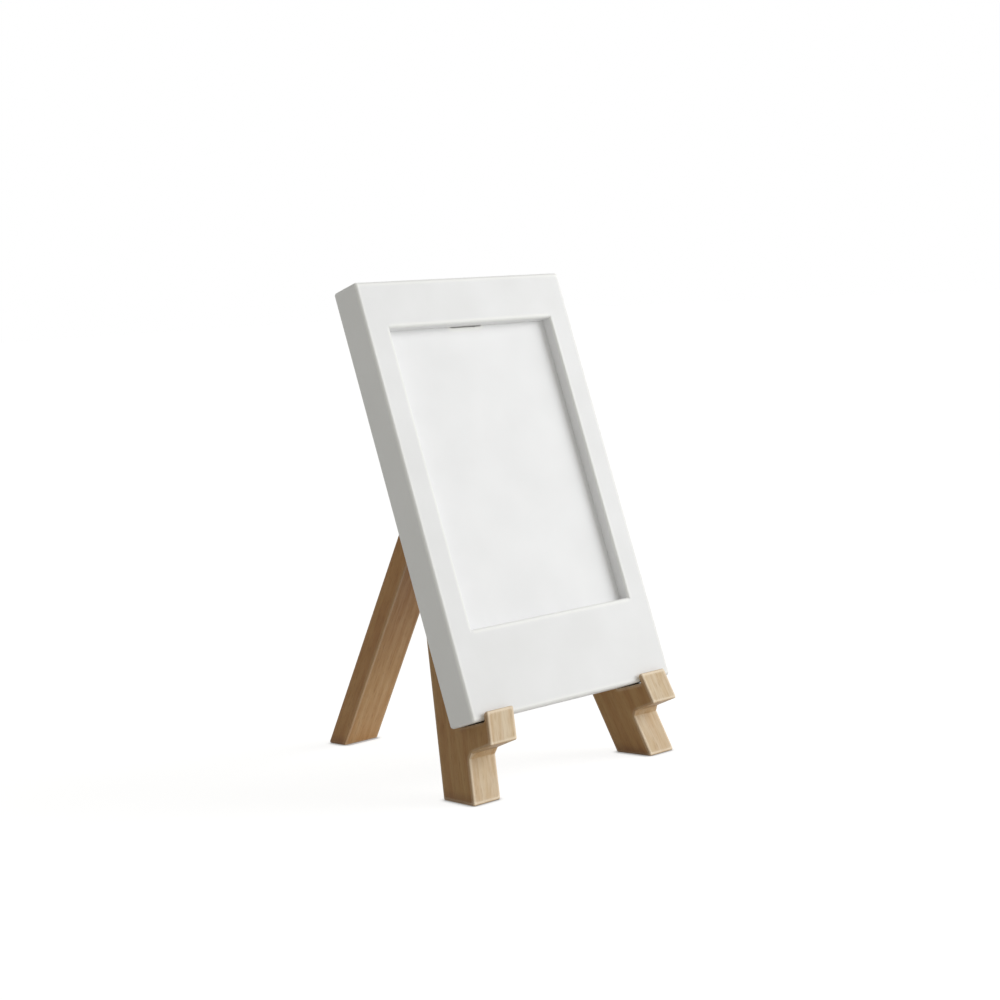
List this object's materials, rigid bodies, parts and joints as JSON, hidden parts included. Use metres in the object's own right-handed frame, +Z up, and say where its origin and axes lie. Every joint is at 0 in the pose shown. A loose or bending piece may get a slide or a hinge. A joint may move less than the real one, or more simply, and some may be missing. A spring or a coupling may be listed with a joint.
{
  "type": "tabletop easel with picture frame",
  "caption": "Small folding wooden tabletop easel: two splayed front legs with hooked seats, a hinged rear leg, and a white slide-in picture frame standing on it.",
  "frame": {"origin": "middle of the footprint box of the open easel, on the table", "axes": "+Z up, +X across the easel, -Y towards the viewer of the picture"},
  "size_m": [0.0592, 0.0748, 0.1017],
  "materials": {
    "beech_front_legs": "clear-oiled beech",
    "beech_rear_leg": "clear-oiled beech",
    "beech_block": "clear-oiled beech",
    "dowel_wood": "beech dowel, end grain",
    "hinge_brass": "pressed brass",
    "nail_brass": "plated nail",
    "frame_white": "satin white moulding",
    "insert_white": "matte white board"
  },
  "bodies": {
    "easel_front": {"left_front_leg": "beech_front_legs", "right_front_leg": "beech_front_legs", "head_block": "beech_block", "head_dowels": "dowel_wood", "hinge_fixed_leaf": "hinge_brass", "hinge_fixed_nails": "nail_brass", "hinge_pin": "hinge_brass"},
    "rear_leg": {"rear_leg": "beech_rear_leg", "hinge_moving_leaf": "hinge_brass", "hinge_moving_nails": "nail_brass"},
    "picture_frame": {"frame_shell": "frame_white", "frame_rear_panel": "frame_white"},
    "insert_board": {"frame_insert": "insert_white"}
  },
  "joints": [
    {"name": "rear_leg_fold", "type": "hinge", "parent": "easel_front", "child": "rear_leg", "pos_m": [0, -0.00414, 0.06235], "axis": [-1, 0, 0], "range_deg": [0, 46.9]},
    {"name": "frame_lift", "type": "slide", "parent": "easel_front", "child": "picture_frame", "axis": [0, 0.3007, 0.9537], "range_m": [0, 0.085]},
    {"name": "insert_slide", "type": "slide", "parent": "picture_frame", "child": "insert_board", "axis": [0, 0.3007, 0.9537], "range_m": [0, 0.09]}
  ]
}
